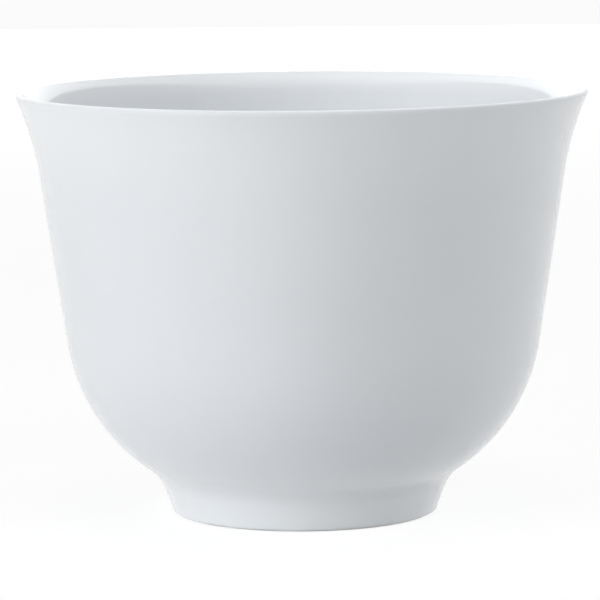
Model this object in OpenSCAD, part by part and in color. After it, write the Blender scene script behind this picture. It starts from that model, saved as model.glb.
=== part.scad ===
// Handle-less porcelain tea cup: a thrown bowl with a flared lip, a turned foot ring
// luted under it with slip, and three coats of clear white glaze.
// Millimetres, +Z up. The origin is on the axis, in the plane that the foot stands on.
// Every surface is turned about Z, so the cup is one section of arcs and straight runs.
// A lean is an angle from vertical, positive where the wall leans outward as it rises.

/* [Cup] */
// Diameter across the outside of the lip
rim_d = 78; // [70:1:92]
// Height from the table to the top of the lip
cup_h = 58; // [48:1:80]

/* [Lip and wall] */
// Thickness of the rounded lip, over the glaze
lip_t = 1; // [0.9:0.1:1.8]
// Lean of the outside just under the lip
lip_lean = 24; // [18:1:32]
// Height of the outside's flare, from the wall up to the lip's round
flare_h = 10.8; // [7:0.2:15]
// Lean of the inside where it rolls out into the lip's round
roll_lean = 46; // [36:1:60]
// Radius of that roll, in section
roll_r = 8; // [4:0.5:10]
// Lean of the straight wall
wall_lean = 8.4; // [4:0.2:11]
// Thickness of the straight wall, over the glaze
wall_t = 2.6; // [2.3:0.1:3.6]

/* [Belly and floor] */
// Radius of the outside of the belly, in section
belly_r = 25.7; // [22:0.1:30]
// Radius inside the cup, from the straight wall down to the flat floor
floor_r = 20; // [15:0.5:25]
// Thickness of the bare porcelain floor
floor_t = 3.4; // [2.6:0.1:5]

/* [Foot] */
// Diameter of the bare foot where its side meets the table
foot_d = 35.2; // [30:0.2:42]
// Height of the foot, from the table to the underside of the bowl
foot_h = 3.6; // [3:0.1:6]
// Lean of the foot's outer side
foot_lean = 23; // [10:1:30]
// Width of the foot's standing edge, between its two side faces
foot_w = 2.4; // [1.8:0.1:3.2]
// Rounding of both corners of the standing edge
foot_edge_r = 0.15; // [0.1:0.05:0.2]
// Radius of the hollow neck between the foot and the belly
neck_r = 6.5; // [3:0.5:8]
// Lean of the foot's inner side, in toward the axis as it rises
well_lean = 12; // [5:1:20]
// Radius in the upper corner of the foot well, over the glaze
well_r = 1.2; // [0.8:0.1:2]

/* [Slip and glaze] */
// Thickness of the slip that lutes the foot ring to the bowl
slip_t = 0.3; // [0.2:0.1:0.6]
// Thickness of each coat of glaze
glaze_t = 0.25; // [0.15:0.05:0.4]
// Height of the bare rim left at the bottom of the foot, inside and out
bare_h = 0.3; // [0.3:0.1:1.5]

/* [Hidden] */
$fn = 144;
// Largest turn of an arc between two of its points, degrees: long arcs, then the lip and small corners
arc_step = 2.5;
corner_step = 10;
// Points closer than this are one point
same_point = 0.001;

// Unit vectors up along a wall of lean a, and square to it, away from the axis
function along(a) = [sin(a), cos(a)];
function square_to(a) = [cos(a), -sin(a)];

// Arc about a centre. A negative radius bends the other way, with its centre outside the cup.
function arc(centre, radius, from_lean, to_lean, step = arc_step) =
    let (steps = ceil(abs(to_lean - from_lean) / step))
    [for (i = [0 : steps]) centre + radius * square_to(from_lean + (to_lean - from_lean) * i / steps)];

// How far along a line, against its direction, a circle of the given reach first meets its start
function back_to(offset, direction, reach) =
    let (run = offset * direction)
    run - sqrt(run * run - offset * offset + reach * reach);

function flip(points) = [for (i = [len(points) - 1 : -1 : 0]) points[i]];

// Lip: one circle, with the flare tangent to it outside and the roll inside
top_lean = -90;
lip_c = [rim_d - lip_t, 2 * cup_h - lip_t] / 2;

// Outside of the flare, and the wall line that it runs into
flare_turn = 1 - cos(lip_lean - wall_lean);
flare_r = flare_h / (sin(lip_lean) - sin(wall_lean));
flare_c = lip_c + (lip_t / 2 + flare_r) * square_to(lip_lean);
wall_top = flare_c - flare_r * square_to(wall_lean);

// Inside of the lip: the roll, tangent to the lip's circle and to the flare below it
roll_c = lip_c + (roll_r - lip_t / 2) * square_to(roll_lean);
roll_turn = 1 - cos(roll_lean - wall_lean);

// Inside of the flare: a longer arc, because the wall thickens from the lip down to wall_t
lip_across = lip_t / 2 * (2 - flare_turn - roll_turn);
roll_across = roll_r * (roll_turn - flare_turn);
inner_flare_r = flare_r + (wall_t - lip_across - roll_across) / flare_turn;
inner_flare_c = roll_c + (inner_flare_r - roll_r) * square_to(lip_lean);

// Foot: the bare side, and the glazed side that the neck starts from
function foot_side(z, depth) =
    [foot_d / 2 + z * tan(foot_lean) + (glaze_t - depth) / cos(foot_lean), z];
function well_side(z, depth) =
    [foot_d / 2 - foot_w - z * tan(well_lean) - (glaze_t - depth) / cos(well_lean), z];
neck_c = foot_side(foot_h, 0) + neck_r * square_to(foot_lean);

// Belly: tangent to the wall line above and to the neck below
belly_line = wall_top - belly_r * square_to(wall_lean);
belly_c = belly_line - along(wall_lean) * back_to(belly_line - neck_c, along(wall_lean), belly_r + neck_r);
neck_lean = atan2(belly_c.y - neck_c.y, neck_c.x - belly_c.x);

// Inside, below the wall: one arc, tangent to the inner wall line and to the flat floor
flat_lean = 90;
floor_z = foot_h + floor_t + glaze_t;
inner_line = wall_top - (wall_t + floor_r) * square_to(wall_lean);
floor_c = inner_line - along(wall_lean) * (inner_line.y - floor_z - floor_r) / cos(wall_lean);

// Foot well: the glazed corner between the foot's inner side and the ceiling
well_corner_z = foot_h - glaze_t - well_r;
well_corner = well_side(well_corner_z, 0) - [well_r / cos(well_lean), 0];

// The outside, from the neck up to the top of the lip, at a depth below the glazed surface
function outside(depth) = concat(
    arc(neck_c, -neck_r - depth, foot_lean, neck_lean),
    arc(belly_c, belly_r - depth, neck_lean, wall_lean),
    arc(flare_c, -flare_r - depth, wall_lean, lip_lean),
    arc(lip_c, lip_t / 2 - depth, lip_lean, top_lean, corner_step));

// The inside, from the top of the lip down to the axis, at a depth below the glazed surface
function inside(depth) = concat(
    arc(lip_c, lip_t / 2 - depth, top_lean, roll_lean - 180, corner_step),
    arc(roll_c, depth - roll_r, roll_lean, lip_lean),
    arc(inner_flare_c, depth - inner_flare_r, lip_lean, wall_lean),
    arc(floor_c, floor_r + depth, wall_lean, flat_lean),
    [[0, floor_z - depth]]);

// Turns a section about Z. Where two arcs meet, the point that they share is kept once.
module turned(points) {
    rotate_extrude() polygon([for (i = [0 : len(points) - 1])
        if (i == 0 || norm(points[i] - points[i - 1]) > same_point) points[i]]);
}

// Turned porcelain ring that the cup stands on, its two lower corners rounded and left bare
module foot_ring() {
    top = foot_h - slip_t;
    outer_edge = foot_side(foot_edge_r, glaze_t) - [foot_edge_r / cos(foot_lean), 0];
    inner_edge = well_side(foot_edge_r, glaze_t) + [foot_edge_r / cos(well_lean), 0];
    color("gainsboro") turned(concat(
        [well_side(top, glaze_t), foot_side(top, glaze_t)],
        arc(outer_edge, foot_edge_r, foot_lean, flat_lean, corner_step),
        arc(inner_edge, foot_edge_r, flat_lean, 180 - well_lean, corner_step)));
}

// Layer of fired slip that joins the foot ring to the bowl
module luting_slip() {
    below = foot_h - slip_t;
    color("lightgray") turned([
        well_side(below, glaze_t),
        foot_side(below, glaze_t),
        foot_side(foot_h, glaze_t),
        well_side(foot_h, glaze_t)]);
}

// Thrown porcelain bowl, from its flat underside to the lip
module bowl() {
    color("whitesmoke") turned(concat(
        [[0, foot_h], foot_side(foot_h, glaze_t)],
        outside(glaze_t),
        inside(glaze_t)));
}

// Glaze inside the cup, from the top of the lip over the floor
module inner_glaze() {
    color("white") turned(concat(inside(0), flip(inside(glaze_t))));
}

// Glaze outside the cup, from the top of the lip over the neck to the bare rim of the foot
module outer_glaze() {
    color("azure") turned(concat(
        [foot_side(bare_h, 0)],
        outside(0),
        flip(outside(glaze_t)),
        [foot_side(bare_h, glaze_t)]));
}

// Glaze in the well under the cup, thicker where it gathers in the corner
module foot_well_glaze() {
    color("aliceblue") turned(concat(
        [[0, foot_h], well_side(foot_h, glaze_t), well_side(bare_h, glaze_t), well_side(bare_h, 0)],
        arc(well_corner, well_r, -well_lean, top_lean, corner_step),
        [[0, foot_h - glaze_t]]));
}

foot_ring();
luting_slip();
bowl();
inner_glaze();
outer_glaze();
foot_well_glaze();
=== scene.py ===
import math

import bmesh
import bpy
from mathutils import Euler, Matrix, Vector, noise


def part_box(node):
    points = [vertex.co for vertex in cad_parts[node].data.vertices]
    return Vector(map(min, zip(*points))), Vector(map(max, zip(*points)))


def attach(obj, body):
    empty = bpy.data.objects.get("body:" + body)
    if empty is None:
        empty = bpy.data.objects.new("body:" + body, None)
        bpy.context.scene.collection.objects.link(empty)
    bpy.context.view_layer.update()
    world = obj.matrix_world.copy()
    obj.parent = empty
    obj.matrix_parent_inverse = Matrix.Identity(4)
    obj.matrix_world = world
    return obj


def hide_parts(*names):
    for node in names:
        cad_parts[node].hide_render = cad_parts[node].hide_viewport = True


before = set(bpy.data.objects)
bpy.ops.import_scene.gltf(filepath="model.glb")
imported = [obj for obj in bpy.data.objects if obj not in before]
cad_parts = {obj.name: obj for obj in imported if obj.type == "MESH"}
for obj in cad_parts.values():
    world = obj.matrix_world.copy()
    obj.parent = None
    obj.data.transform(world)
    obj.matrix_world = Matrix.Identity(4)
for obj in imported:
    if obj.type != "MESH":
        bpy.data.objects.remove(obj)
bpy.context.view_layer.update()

# The foot ring
# A ring of porcelain turned on the wheel and left bare where the cup stands, because glaze
# there would stick to the kiln shelf. Fired clay: matte, finely grained, a little warm.
mm = 0.001
ring_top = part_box("foot_ring")[1].z
foot_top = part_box("luting_slip")[1].z
foot_top_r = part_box("luting_slip")[1].x
foot_spread = (foot_top_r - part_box("foot_ring")[1].x) / (foot_top - ring_top)
foot_lean = math.degrees(math.atan(foot_spread))
foot_r = foot_top_r - foot_top * foot_spread
foot_w = 2.4 * mm
foot_edge_r = 0.15 * mm
well_lean = 12
flat_lean = 90


def square_to(lean):
    """Unit vector in the section, square to a wall of that lean from vertical, off the axis."""
    return Vector((math.cos(math.radians(lean)), -math.sin(math.radians(lean))))


def arc(centre, radius, from_lean, to_lean, steps):
    """Points of an arc in the section. A negative radius has its centre outside the wall."""
    leans = [from_lean + (to_lean - from_lean) * i / steps for i in range(steps + 1)]
    return [centre + radius * square_to(lean) for lean in leans]


def foot_side(z, cover):
    """A point on the outer side of the foot, with a cover of glaze on it."""
    return Vector((foot_r + z * foot_spread + cover / math.cos(math.radians(foot_lean)), z))


def well_side(z, cover):
    """A point on the inner side of the foot, with a cover of glaze on it."""
    lean = math.radians(well_lean)
    return Vector((foot_r - foot_w - z * math.tan(lean) - cover / math.cos(lean), z))


def level_step(radius, lean):
    """The level step from a leaning wall to the centre of a round that is tangent to it."""
    return Vector((radius / math.cos(math.radians(lean)), 0))


# Points of a section closer than same_point are one point, and nearer the axis than near_axis
# are on it. An edge is shaded sharp where it bends by more than sharp_bend degrees.
same_point = 0.002 * mm
near_axis = 0.0001 * mm
sharp_bend = 50
segments = 240


def thinned(points):
    """The points, without any that lies too close to the one before it."""
    kept = [points[0]]
    for point in points[1:]:
        if (point - kept[-1]).length > same_point:
            kept.append(point)
    return kept


def turned(name, outline, shaped):
    """A closed solid: the outline turned about Z, each point moved by shaped(point, angle)."""
    outline = thinned(outline)
    mesh = bmesh.new()
    angles = [2 * math.pi * i / segments for i in range(segments)]
    rows = []
    for point in outline:
        if point.x < near_axis:
            rows.append([mesh.verts.new((0, 0, point.y))] * segments)
            continue
        row = []
        for angle in angles:
            r, z = shaped(point, angle)
            row.append(mesh.verts.new((r * math.cos(angle), r * math.sin(angle), z)))
        rows.append(row)
    if outline[0].x >= near_axis:
        rows.append(rows[0])
    for lower, upper in zip(rows, rows[1:]):
        for i in range(segments):
            j = (i + 1) % segments
            corners = []
            for corner in (lower[i], lower[j], upper[j], upper[i]):
                if corner not in corners:
                    corners.append(corner)
            if len(corners) > 2:
                mesh.faces.new(corners)
    bmesh.ops.recalc_face_normals(mesh, faces=mesh.faces)
    data = bpy.data.meshes.new(name)
    mesh.to_mesh(data)
    mesh.free()
    data.shade_smooth()
    data.set_sharp_from_angle(angle=math.radians(sharp_bend))
    piece = bpy.data.objects.new(name, data)
    bpy.context.scene.collection.objects.link(piece)
    return piece


def as_drawn(point, angle):
    """No change to the turned shape."""
    return point


outer_edge = foot_side(foot_edge_r, cover=0) - level_step(foot_edge_r, foot_lean)
inner_edge = well_side(foot_edge_r, cover=0) + level_step(foot_edge_r, well_lean)
ring_outline = (
    [well_side(ring_top, cover=0), foot_side(ring_top, cover=0)]
    + arc(outer_edge, foot_edge_r, foot_lean, flat_lean, steps=8)
    + arc(inner_edge, foot_edge_r, flat_lean, 180 - well_lean, steps=8)
)
ring = turned("foot_ring_bare", ring_outline, as_drawn)


def new_material(name):
    """A new material, its node tree and its shader."""
    material = bpy.data.materials.new(name)
    material.use_nodes = True
    tree = material.node_tree
    return material, tree, tree.nodes["Principled BSDF"]


def add(tree, kind, **values):
    """A node with its named inputs and its options set. A value that is a socket is linked."""
    node = tree.nodes.new(kind)
    for key, value in values.items():
        wanted = key.replace("_", " ").lower()
        sockets = [s for s in node.inputs if s.enabled and s.name.lower() == wanted]
        if not sockets:
            setattr(node, key, value)
        elif isinstance(value, bpy.types.NodeSocket):
            tree.links.new(value, sockets[0])
        else:
            sockets[0].default_value = value
    return node


def blend_of(tree, share, first, second):
    """A colour between two, by a share from 0 to 1."""
    node = add(tree, "ShaderNodeMix", data_type="RGBA", factor=share, a=first, b=second)
    return next(s for s in node.outputs if s.enabled)


def result_of(tree, kind, *values):
    """The result of a Math node of that kind."""
    node = tree.nodes.new("ShaderNodeMath")
    node.operation = kind
    for socket, value in zip(node.inputs, values):
        if isinstance(value, bpy.types.NodeSocket):
            tree.links.new(value, socket)
        else:
            socket.default_value = value
    return node.outputs[0]


def new_group(name, inputs, outputs):
    """A shader node group with those sockets: its tree, and its inputs and outputs as nodes."""
    tree = bpy.data.node_groups.new(name, "ShaderNodeTree")
    for label, kind, value in inputs:
        socket = tree.interface.new_socket(label, in_out="INPUT", socket_type=kind)
        socket.default_value = value
    for label, kind in outputs:
        tree.interface.new_socket(label, in_out="OUTPUT", socket_type=kind)
    return tree, tree.nodes.new("NodeGroupInput"), tree.nodes.new("NodeGroupOutput")


def place(tree, group, **values):
    """A node group placed in a material, with its named inputs set."""
    node = tree.nodes.new("ShaderNodeGroup")
    node.node_tree = group
    for key, value in values.items():
        node.inputs[key.replace("_", " ")].default_value = value
    return node


# Grain of fired clay: fine grit, faint clouds, flecks, and the rings that turning leaves.
# Clouds and flecks take a share of the fleck's colour; grit roughens; rings add to its relief.
cloud_share = 0.30
fleck_share = 0.35
fleck_reach = 0.12
least_rough = 0.62
grit_rough = 0.25
ring_relief = 0.25
clay_grain, clay_in, clay_out = new_group(
    "fired clay grain",
    [
        ("Clay", "NodeSocketColor", (0.78, 0.76, 0.73, 1)),
        ("Fleck", "NodeSocketColor", (0.62, 0.58, 0.52, 1)),
        ("Ring gap", "NodeSocketFloat", 0.35 * mm),
    ],
    [("Color", "NodeSocketColor"), ("Roughness", "NodeSocketFloat"), ("Height", "NodeSocketFloat")],
)
where = clay_grain.nodes.new("ShaderNodeTexCoord").outputs["Object"]
grit = add(clay_grain, "ShaderNodeTexNoise", vector=where, scale=2600.0, detail=4.0)
cloud = add(clay_grain, "ShaderNodeTexNoise", vector=where, scale=220.0, detail=3.0)
flecks = add(clay_grain, "ShaderNodeTexVoronoi", vector=where, scale=900.0)
near_fleck = result_of(clay_grain, "LESS_THAN", flecks.outputs["Distance"], fleck_reach)
split = add(clay_grain, "ShaderNodeSeparateXYZ", vector=where)
x_squared = result_of(clay_grain, "MULTIPLY", split.outputs["X"], split.outputs["X"])
y_squared = result_of(clay_grain, "MULTIPLY", split.outputs["Y"], split.outputs["Y"])
from_axis = result_of(clay_grain, "SQRT", result_of(clay_grain, "ADD", x_squared, y_squared))
turns = result_of(clay_grain, "DIVIDE", from_axis, clay_in.outputs["Ring gap"])
ring_wave = result_of(clay_grain, "SINE", result_of(clay_grain, "MULTIPLY", turns, 2 * math.pi))
clouded = result_of(clay_grain, "MULTIPLY", cloud.outputs["Fac"], cloud_share)
flecked = result_of(clay_grain, "MULTIPLY", near_fleck, fleck_share)
spotted = result_of(clay_grain, "MAXIMUM", clouded, flecked)
tint = blend_of(clay_grain, spotted, clay_in.outputs["Clay"], clay_in.outputs["Fleck"])
clay_grain.links.new(tint, clay_out.inputs["Color"])
rough = result_of(clay_grain, "MULTIPLY_ADD", grit.outputs["Fac"], grit_rough, least_rough)
clay_grain.links.new(rough, clay_out.inputs["Roughness"])
relief = result_of(clay_grain, "MULTIPLY_ADD", ring_wave, ring_relief, grit.outputs["Fac"])
clay_grain.links.new(relief, clay_out.inputs["Height"])


def bare_clay(name, clay, fleck, ring_gap, grain_depth):
    """Fired clay without glaze."""
    material, tree, shader = new_material(name)
    grain = place(tree, clay_grain, Clay=clay, Fleck=fleck, Ring_gap=ring_gap)
    tree.links.new(grain.outputs["Color"], shader.inputs["Base Color"])
    tree.links.new(grain.outputs["Roughness"], shader.inputs["Roughness"])
    height = grain.outputs["Height"]
    bump = add(tree, "ShaderNodeBump", strength=0.35, distance=grain_depth, height=height)
    tree.links.new(bump.outputs["Normal"], shader.inputs["Normal"])
    return material


# Its clay is painted lighter than the body's, partly to lift the shade where the foot meets the table
lightened_biscuit = bare_clay(
    "bare biscuit",
    clay=(0.88, 0.88, 0.87, 1),
    fleck=(0.70, 0.68, 0.65, 1),
    ring_gap=0.35 * mm,
    grain_depth=0.03 * mm,
)
ring.data.materials.append(lightened_biscuit)
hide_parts("foot_ring")
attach(ring, "root")

# The luting slip
# Liquid clay, brushed on when the foot ring was set under the bowl and fired with them.
# It is under the glaze all round, so the solid stays and only takes a finish.
slip_clay = bare_clay(
    "fired slip",
    clay=(0.75, 0.73, 0.70, 1),
    fleck=(0.62, 0.59, 0.54, 1),
    ring_gap=0.6 * mm,
    grain_depth=0.02 * mm,
)
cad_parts["luting_slip"].data.materials.clear()
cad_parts["luting_slip"].data.materials.append(slip_clay)

# The bowl
# Thrown porcelain, from the flat underside to the lip. The coats of glaze hide it all over,
# so the solid stays and takes the finish of the fired body.
body_clay = bare_clay(
    "porcelain body",
    clay=(0.80, 0.79, 0.77, 1),
    fleck=(0.70, 0.68, 0.65, 1),
    ring_gap=1.2 * mm,
    grain_depth=0.02 * mm,
)
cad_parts["bowl"].data.materials.clear()
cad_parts["bowl"].data.materials.append(body_clay)

# The outer glaze
# A coat of clear white glaze from the top of the lip over the wall, the belly and the neck.
# It was dipped and wiped off the foot, so it ends there in a rounded, slightly wavy edge.
rim_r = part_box("outer_glaze")[1].x
cup_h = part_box("outer_glaze")[1].z
bare_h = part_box("outer_glaze")[0].z
glaze_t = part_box("outer_glaze")[1].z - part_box("bowl")[1].z
lip_t = 2 * (rim_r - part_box("inner_glaze")[1].x)
lip_lean = 24
flare_h = 10.8 * mm
wall_lean = 8.4
belly_r = 25.7 * mm
neck_r = 6.5 * mm
top_lean = -90


def along(lean):
    """Unit vector in the section, up along a wall of that lean."""
    return Vector((math.sin(math.radians(lean)), math.cos(math.radians(lean))))


lip_c = Vector((rim_r - lip_t / 2, cup_h - lip_t / 2))
flare_r = flare_h / (math.sin(math.radians(lip_lean)) - math.sin(math.radians(wall_lean)))
flare_c = lip_c + (lip_t / 2 + flare_r) * square_to(lip_lean)
wall_top = flare_c - flare_r * square_to(wall_lean)
neck_c = foot_side(foot_top, glaze_t) + neck_r * square_to(foot_lean)

# The belly's centre lies on a line beside the wall, where the belly just touches the neck
belly_line = wall_top - belly_r * square_to(wall_lean)
to_neck = belly_line - neck_c
run = to_neck.dot(along(wall_lean))
reach = belly_r + neck_r
belly_drop = run - math.sqrt(run * run - to_neck.dot(to_neck) + reach * reach)
belly_c = belly_line - along(wall_lean) * belly_drop
neck_lean = math.degrees(math.atan2(belly_c.y - neck_c.y, neck_c.x - belly_c.x))


def straight(start, end, steps):
    """Points of a straight run in the section, without its two ends."""
    return [start.lerp(end, i / steps) for i in range(1, steps)]


def outside(depth):
    """The outside at a depth below the glazed surface, from the neck up to the top of the lip."""
    neck = arc(neck_c, -neck_r - depth, foot_lean, neck_lean, steps=14)
    belly = arc(belly_c, belly_r - depth, neck_lean, wall_lean, steps=40)
    flare = arc(flare_c, -flare_r - depth, wall_lean, lip_lean, steps=20)
    lip = arc(lip_c, lip_t / 2 - depth, lip_lean, top_lean, steps=16)
    wall = straight(belly[-1], flare[0], steps=24)
    return neck + belly + wall + flare + lip


# Where a coat was wiped off the foot, it ends in an edge, edge_t thick, under a rounded bead that
# is bead_t thick at bead_h above the edge. Outside, it comes down to wiped_h above the table.
wiped_h = 0.13 * mm
edge_t = 0.04 * mm
bead_t = 0.41 * mm
bead_h = 0.35 * mm
bead_steps = 6


def wiped_edge(side, lowest, highest):
    """The end of a coat on one side of the foot: up round its bead, then thinning to glaze_t."""
    points = [side(lowest, cover=0)]
    for i in range(bead_steps + 1):
        turn = math.pi / 2 * i / bead_steps
        z = lowest + bead_h * (1 - math.cos(turn))
        points.append(side(z, edge_t + (bead_t - edge_t) * math.sin(turn)))
    fullest = lowest + bead_h
    for i in range(1, bead_steps + 1):
        share = i / bead_steps
        z = fullest + (highest - fullest) * share
        points.append(side(z, glaze_t + (bead_t - glaze_t) * (1 - share) ** 2))
    return points


coat_end = wiped_edge(foot_side, wiped_h, ring_top)
coat_outline = coat_end + outside(0) + list(reversed(outside(glaze_t)))

# Hand-made unevenness: the wall swells a little, less toward the foot, and the glaze line
# wanders up and down, most at its end. Lobes are how quickly each changes round the cup.
swell_depth = 0.05 * mm
swell_lobes = 2.2
swell_length = 16 * mm
swell_rise = 8 * mm
coat_wander = 0.10 * mm
coat_wander_h = 1.6 * mm
coat_wander_lobes = 4.0
coat_wander_seed = Vector((7, 3, 5))


def round_cup(angle):
    """Unit vector from the axis at an angle round the cup."""
    return Vector((math.cos(angle), math.sin(angle), 0))


def waved(point, angle):
    """The outer coat's unevenness."""
    swell = noise.noise(round_cup(angle) * swell_lobes + Vector((0, 0, point.y / swell_length)))
    line = noise.noise(round_cup(angle) * coat_wander_lobes + coat_wander_seed)
    near_line = max(0.0, 1 - (point.y - bare_h) / coat_wander_h)
    above_foot = min(1.0, max(0.0, (point.y - foot_top) / swell_rise))
    rise = coat_wander * line * near_line
    return point.x + swell_depth * swell * above_foot + rise * foot_spread, point.y + rise


coat = turned("outer_glaze_coat", coat_outline, waved)

# Skin of the glaze: orange peel, pinholes, a cool tint that gathers where the coat is thick, and wear,
# which dulls it. Painted shade greys the worn lip, and the thin coat's lighter colour is partly
# painted light.
thickness_drift = 0.3
pinhole_dull = 0.4
pinhole_depth = 1.5
# The worn lip is greyed with painted shade, this share of the way to the darker colour below
lip_shade_share = 0.5
wear_dull = 0.4
rubbed_glaze = (0.62, 0.64, 0.66, 1)
glaze_skin, skin_in, skin_out = new_group(
    "glaze skin",
    [
        ("Glaze", "NodeSocketColor", (0.80, 0.81, 0.83, 1)),
        ("Thick", "NodeSocketColor", (0.76, 0.79, 0.83, 1)),
        ("Clean roughness", "NodeSocketFloat", 0.07),
        ("Pinholes", "NodeSocketFloat", 0.04),
        ("Thickness", "NodeSocketFloat", 0.5),
        ("Wear and shade", "NodeSocketFloat", 0.0),
    ],
    [("Color", "NodeSocketColor"), ("Roughness", "NodeSocketFloat"), ("Height", "NodeSocketFloat")],
)
where = glaze_skin.nodes.new("ShaderNodeTexCoord").outputs["Object"]
peel = add(glaze_skin, "ShaderNodeTexNoise", vector=where, scale=420.0, detail=2.0)
drift = add(glaze_skin, "ShaderNodeTexNoise", vector=where, scale=55.0, detail=2.0)
pits = add(glaze_skin, "ShaderNodeTexVoronoi", vector=where, scale=260.0)
chance = add(glaze_skin, "ShaderNodeSeparateColor", color=pits.outputs["Color"])
chosen = result_of(glaze_skin, "LESS_THAN", chance.outputs[0], skin_in.outputs["Pinholes"])
closeness = add(
    glaze_skin,
    "ShaderNodeMapRange",
    value=pits.outputs["Distance"],
    from_min=0.02,
    from_max=0.05,
    to_min=1.0,
    to_max=0.0,
)
pinhole = result_of(glaze_skin, "MULTIPLY", chosen, closeness.outputs[0])
drifted = result_of(
    glaze_skin, "MULTIPLY_ADD", drift.outputs["Fac"], thickness_drift, -thickness_drift / 2
)
# The coat's thickness with its drift; where it is thin, its lighter colour is partly painted light
thickness_and_light = result_of(glaze_skin, "ADD", skin_in.outputs["Thickness"], drifted)
thickness_and_light = result_of(glaze_skin, "MINIMUM", result_of(glaze_skin, "MAXIMUM", thickness_and_light, 0.0), 1.0)
tint = blend_of(glaze_skin, thickness_and_light, skin_in.outputs["Glaze"], skin_in.outputs["Thick"])
# Painted shade: the worn lip is greyed, to tone down its bright line
lip_shaded = result_of(glaze_skin, "MULTIPLY", skin_in.outputs["Wear and shade"], lip_shade_share)
tint = blend_of(glaze_skin, lip_shaded, tint, rubbed_glaze)
glaze_skin.links.new(tint, skin_out.inputs["Color"])
clean = skin_in.outputs["Clean roughness"]
pitted = result_of(glaze_skin, "MULTIPLY_ADD", pinhole, pinhole_dull, clean)
dulled = result_of(glaze_skin, "MULTIPLY_ADD", skin_in.outputs["Wear and shade"], wear_dull, pitted)
glaze_skin.links.new(dulled, skin_out.inputs["Roughness"])
dimpled = result_of(glaze_skin, "MULTIPLY_ADD", pinhole, -pinhole_depth, peel.outputs["Fac"])
glaze_skin.links.new(dimpled, skin_out.inputs["Height"])

# The lip is worn dull in use and greyed with painted shade, from the first of these depths below its
# top up to the second
rub_from = 0.55 * mm
rub_to = 0.15 * mm

# Colours of the glaze where its coat is thin and thick, and how strongly it bends light
thin_glaze = (0.890, 0.920, 0.945, 1)
thick_glaze = (0.797, 0.828, 0.862, 1)
glaze_ior = 1.52


def glazed(name, thick, roughness, pinholes, peel_depth, heights, rub):
    """Clear white glaze over porcelain. Heights pair a height with the coat's thickness there,
    from 0 to 1; a thin coat is lighter, which is partly painted light. The last argument is how far
    the lip is worn dull and greyed with painted shade, from 0 to 1."""
    material, tree, shader = new_material(name)
    skin = place(
        tree,
        glaze_skin,
        Glaze=thin_glaze,
        Thick=thick,
        Clean_roughness=roughness,
        Pinholes=pinholes,
    )
    where = tree.nodes.new("ShaderNodeTexCoord").outputs["Object"]
    up = add(tree, "ShaderNodeSeparateXYZ", vector=where).outputs["Z"]
    share = add(
        tree, "ShaderNodeMapRange", value=up, from_min=0.0, from_max=cup_h, to_min=0.0, to_max=1.0
    )
    ramp = add(tree, "ShaderNodeValToRGB", fac=share.outputs[0])
    ramp.color_ramp.interpolation = "EASE"
    marks = ramp.color_ramp.elements
    while len(marks) < len(heights):
        marks.new(0.5)
    for mark, (height, thickness) in zip(marks, heights):
        mark.position = height / cup_h
        mark.color = (thickness, thickness, thickness, 1)
    tree.links.new(ramp.outputs["Color"], skin.inputs["Thickness"])
    # How far the lip is worn dull and greyed with painted shade
    worn_and_shaded = add(
        tree,
        "ShaderNodeMapRange",
        value=up,
        from_min=cup_h - rub_from,
        from_max=cup_h - rub_to,
        to_min=0.0,
        to_max=rub,
    )
    tree.links.new(worn_and_shaded.outputs[0], skin.inputs["Wear and shade"])
    tree.links.new(skin.outputs["Color"], shader.inputs["Base Color"])
    tree.links.new(skin.outputs["Roughness"], shader.inputs["Roughness"])
    height = skin.outputs["Height"]
    bump = add(tree, "ShaderNodeBump", strength=0.25, distance=peel_depth, height=height)
    tree.links.new(bump.outputs["Normal"], shader.inputs["Normal"])
    shader.inputs["IOR"].default_value = glaze_ior
    return material


# Wet glaze runs: the coat is thickest low on the belly, and thin at the foot and the lip, where its
# lighter
# colour is also painted light: a glow through the thin lip, and the table's bounce on the foot
coat_and_light_heights = [
    (3 * mm, 0.0),
    (6 * mm, 0.5),
    (12 * mm, 1.0),
    (30 * mm, 0.7),
    (43 * mm, 0.58),
    (56 * mm, 0.0),
]
outer_finish = glazed(
    "outer glaze",
    thick=thick_glaze,
    roughness=0.07,
    pinholes=0.02,
    peel_depth=0.02 * mm,
    heights=coat_and_light_heights,
    rub=1.0,
)
coat.data.materials.append(outer_finish)
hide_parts("outer_glaze")
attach(coat, "root")

# The inner glaze
# The same glaze poured inside and tipped out: from the top of the lip down the wall and
# over the floor, where it lies a little thicker and the thrower's rings show through.
wall_t = 2.6 * mm
floor_r = 20 * mm
floor_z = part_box("inner_glaze")[0].z + glaze_t
roll_lean = 46
roll_r = 8 * mm
flare_turn = 1 - math.cos(math.radians(lip_lean - wall_lean))
roll_turn = 1 - math.cos(math.radians(roll_lean - wall_lean))
lip_across = lip_t / 2 * (2 - flare_turn - roll_turn)
roll_across = roll_r * (roll_turn - flare_turn)
roll_c = lip_c + (roll_r - lip_t / 2) * square_to(roll_lean)
inner_flare_r = flare_r + (wall_t - lip_across - roll_across) / flare_turn
inner_flare_c = roll_c + (inner_flare_r - roll_r) * square_to(lip_lean)
inner_line = wall_top - (wall_t + floor_r) * square_to(wall_lean)
floor_drop = (inner_line.y - floor_z - floor_r) / math.cos(math.radians(wall_lean))
floor_c = inner_line - along(wall_lean) * floor_drop


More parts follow.
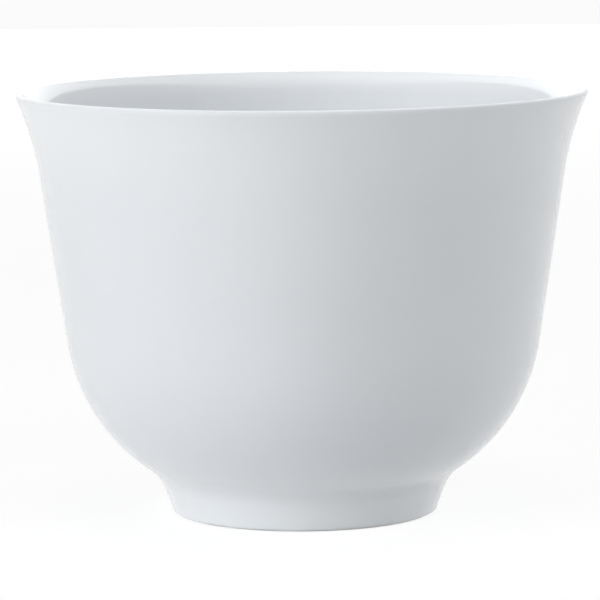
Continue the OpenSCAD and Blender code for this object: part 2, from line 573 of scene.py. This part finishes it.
def inside(depth):
    """The inside at a depth below the glazed surface, from the axis out to the top of the lip."""
    centre = Vector((0, floor_z - depth))
    bottom = arc(floor_c, floor_r + depth, flat_lean, wall_lean, steps=56)
    flare = arc(inner_flare_c, depth - inner_flare_r, wall_lean, lip_lean, steps=30)
    roll = arc(roll_c, depth - roll_r, lip_lean, roll_lean, steps=16)
    lip = arc(lip_c, lip_t / 2 - depth, roll_lean - 180, top_lean, steps=10)
    flat = [centre] + straight(centre, bottom[0], steps=16)
    wall = straight(bottom[-1], flare[0], steps=12)
    return flat + bottom + wall + flare + roll + lip


# The thrower's rings: one spiral of shallow swells, which starts off the axis and fades upward
throw_gap = 5.5 * mm
throw_depth = 0.012 * mm
throw_start = 6 * mm
throw_fade = 22 * mm


def thrown(point, angle):
    """The inner coat's rings, deepest on the floor."""
    swell = math.sin(2 * math.pi * (point.x / throw_gap - angle / (2 * math.pi)))
    low = max(0.0, 1 - (point.y - floor_z) / throw_fade)
    off_axis = min(1.0, point.x / throw_start)
    return point.x, point.y + throw_depth * swell * low * off_axis


lining = turned("inner_glaze_coat", inside(0) + list(reversed(inside(glaze_t))), thrown)

# Inside it is thickest on the floor, and thins all the way up to the lip, where its lighter colour is
# also a painted glow of light through the thin wall
lining_and_light_heights = [
    (floor_z, 1.0),
    (30 * mm, 0.8),
    (48 * mm, 0.6),
    (54.5 * mm, 0.45),
    (57 * mm, 0.0),
]
inner_finish = glazed(
    "inner glaze",
    thick=thick_glaze,
    roughness=0.06,
    pinholes=0.02,
    peel_depth=0.02 * mm,
    heights=lining_and_light_heights,
    rub=0.5,
)
lining.data.materials.append(inner_finish)
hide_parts("inner_glaze")
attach(lining, "root")

# The glaze in the foot well
# Brushed into the recess under the cup. It gathers in the corner, and shows the rings of the
# turning tool and more pinholes than the rest.
well_r = 1.2 * mm
well_corner_z = foot_top - glaze_t - well_r
well_corner = well_side(well_corner_z, glaze_t) - level_step(well_r, well_lean)
ceiling = Vector((0, foot_top - glaze_t))
corner = arc(well_corner, well_r, top_lean, -well_lean, steps=12)
well_outline = (
    [ceiling]
    + straight(ceiling, corner[0], steps=24)
    + corner
    + list(reversed(wiped_edge(well_side, bare_h, well_corner_z)))
    + [well_side(foot_top, cover=0), Vector((0, foot_top))]
)

# The turning tool's rings cover the ceiling, which is all that lies within level_gap of its
# height. The glaze line wanders as it does outside.
tool_gap = 2.1 * mm
tool_depth = 0.02 * mm
level_gap = 0.01 * mm
well_wander = 0.12 * mm
well_wander_h = 1.2 * mm
well_wander_lobes = 3.0
well_wander_seed = Vector((2, 9, 4))


def scraped(point, angle):
    """Rings of the turning tool on the ceiling of the well, and a wandering glaze line."""
    line = noise.noise(round_cup(angle) * well_wander_lobes + well_wander_seed)
    near_line = max(0.0, 1 - (point.y - bare_h) / well_wander_h)
    on_ceiling = 1.0 if abs(point.y - ceiling.y) < level_gap else 0.0
    groove = math.sin(2 * math.pi * point.x / tool_gap)
    return point.x, point.y + tool_depth * groove * on_ceiling + well_wander * line * near_line


well = turned("foot_well_glaze_coat", well_outline, scraped)
well_finish = glazed(
    "foot well glaze",
    thick=(0.78, 0.81, 0.85, 1),
    roughness=0.09,
    pinholes=0.10,
    peel_depth=0.03 * mm,
    heights=[(bare_h, 0.2), (foot_top - 2 * glaze_t, 1.0)],
    rub=0.0,
)
well.data.materials.append(well_finish)
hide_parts("foot_well_glaze")
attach(well, "root")

# The camera
# A long lens a little above the rim, as in the photograph, tipped down and rolled slightly.
# The focal length is for an image 600 pixels wide.
image_px = 600
focal_px = 4111.8
sensor_mm = 36
camera_place = Vector((0, -560 * mm, 97.46 * mm))
pitch = math.radians(6.962)
yaw = math.radians(0.047)
roll = math.radians(0.528)
lens = bpy.data.cameras.new("camera")
lens.sensor_width = sensor_mm
lens.lens = focal_px / image_px * sensor_mm
camera = bpy.data.objects.new("camera", lens)
bpy.context.scene.collection.objects.link(camera)
aim = Euler((math.pi / 2 - pitch, 0, yaw)).to_matrix() @ Matrix.Rotation(-roll, 3, "Z")
camera.matrix_world = Matrix.Translation(camera_place) @ aim.to_4x4()
bpy.context.scene.camera = camera

# The floor
# A wide white table, a hair below the standing edge so that their faces don't coincide. The
# lens sees it lifted toward white, more so far from the lamps, with the cup's shadow kept. The
# cup itself is lit by the table's plain white.
floor_half = 6.0
floor_gap = 0.02 * mm
table_white = (0.85, 0.85, 0.85, 1)
table_seen = (0.20, 0.20, 0.20, 1)
floor_corners = [(x * floor_half, y * floor_half, 0) for x, y in ((-1, -1), (1, -1), (1, 1), (-1, 1))]
floor_mesh = bpy.data.meshes.new("floor")
floor_mesh.from_pydata(floor_corners, [], [(0, 1, 2, 3)])
floor = bpy.data.objects.new("floor", floor_mesh)
floor.location.z = -floor_gap
bpy.context.scene.collection.objects.link(floor)


def seen_directly(tree):
    """1 for what the lens sees, also in a reflection or through glass, and 0 for light on the cup."""
    path = tree.nodes.new("ShaderNodeLightPath").outputs
    mirrored = result_of(tree, "MAXIMUM", path["Is Glossy Ray"], path["Is Transmission Ray"])
    return result_of(tree, "MAXIMUM", path["Is Camera Ray"], mirrored)


table_top, tree, shader = new_material("white table")
tree.nodes.remove(shader)
seen = seen_directly(tree)
shade = blend_of(tree, seen, table_white, table_seen)
matte = add(tree, "ShaderNodeBsdfDiffuse", color=shade)
where = tree.nodes.new("ShaderNodeTexCoord").outputs["Object"]
apart = add(tree, "ShaderNodeVectorMath", operation="LENGTH", vector=where).outputs["Value"]
lifted = add(
    tree, "ShaderNodeMapRange", value=apart, from_min=0.3, from_max=2.0, to_min=0.86, to_max=0.98
)
lift = add(tree, "ShaderNodeEmission", strength=result_of(tree, "MULTIPLY", seen, lifted.outputs[0]))
both = tree.nodes.new("ShaderNodeAddShader")
tree.links.new(matte.outputs[0], both.inputs[0])
tree.links.new(lift.outputs[0], both.inputs[1])
tree.links.new(both.outputs[0], tree.nodes["Material Output"].inputs["Surface"])
floor_mesh.materials.append(table_top)

# The light
# Large soft boxes: the key on the left, a weaker one on the right, a fill over the camera, one
# above and a low one behind. They light the cup and aren't mirrored in it. A scrim that leans
# over the cup from behind is only mirrored in the glaze.
cup_middle = Vector((0, 0, 30 * mm))


def soft_box(name, azimuth, elevation, width, height, watts, distance=1.2, spread=180, mirrored=False):
    """A lamp that faces the cup, in degrees and metres. Azimuth runs from +X toward +Y."""
    lamp = bpy.data.lights.new(name, "AREA")
    lamp.shape = "RECTANGLE"
    lamp.size = width
    lamp.size_y = height
    lamp.energy = watts
    lamp.spread = math.radians(spread)
    box = bpy.data.objects.new(name, lamp)
    turn = math.radians(azimuth)
    rise = math.radians(elevation)
    away = Vector((math.cos(turn) * math.cos(rise), math.sin(turn) * math.cos(rise), math.sin(rise)))
    box.location = cup_middle + distance * away
    box.rotation_euler = (-away).to_track_quat("-Z", "Y").to_euler()
    box.visible_camera = False
    box.visible_glossy = mirrored
    box.visible_diffuse = not mirrored
    bpy.context.scene.collection.objects.link(box)


soft_box("key", azimuth=213, elevation=16, width=1.2, height=0.8, watts=10.6)
soft_box("right", azimuth=18, elevation=10, width=0.8, height=0.6, watts=4.7)
soft_box("fill", azimuth=304, elevation=45, width=1.2, height=0.6, watts=3.7)
soft_box("over", azimuth=270, elevation=86, width=0.7, height=0.7, watts=3.0)
soft_box("back", azimuth=90, elevation=4, width=0.5, height=0.2, watts=5.2)
soft_box(
    "scrim",
    azimuth=91,
    elevation=64,
    width=3.5,
    height=6.5,
    watts=108.0,
    distance=2.0,
    spread=130,
    mirrored=True,
)

# The room: a little even light on the cup, and a white backdrop for the lens
room = bpy.data.worlds.new("room")
bpy.context.scene.world = room
room.use_nodes = True
tree = room.node_tree
even_light = tree.nodes["Background"]
even_light.inputs["Color"].default_value = (0.97, 0.985, 1.0, 1)
even_light.inputs["Strength"].default_value = 0.03
backdrop = add(tree, "ShaderNodeBackground", color=(1, 1, 1, 1), strength=1.0)
mixed = tree.nodes.new("ShaderNodeMixShader")
tree.links.new(seen_directly(tree), mixed.inputs[0])
tree.links.new(even_light.outputs[0], mixed.inputs[1])
tree.links.new(backdrop.outputs[0], mixed.inputs[2])
tree.links.new(mixed.outputs[0], tree.nodes["World Output"].inputs["Surface"])

bpy.context.scene.view_settings.view_transform = "Standard"
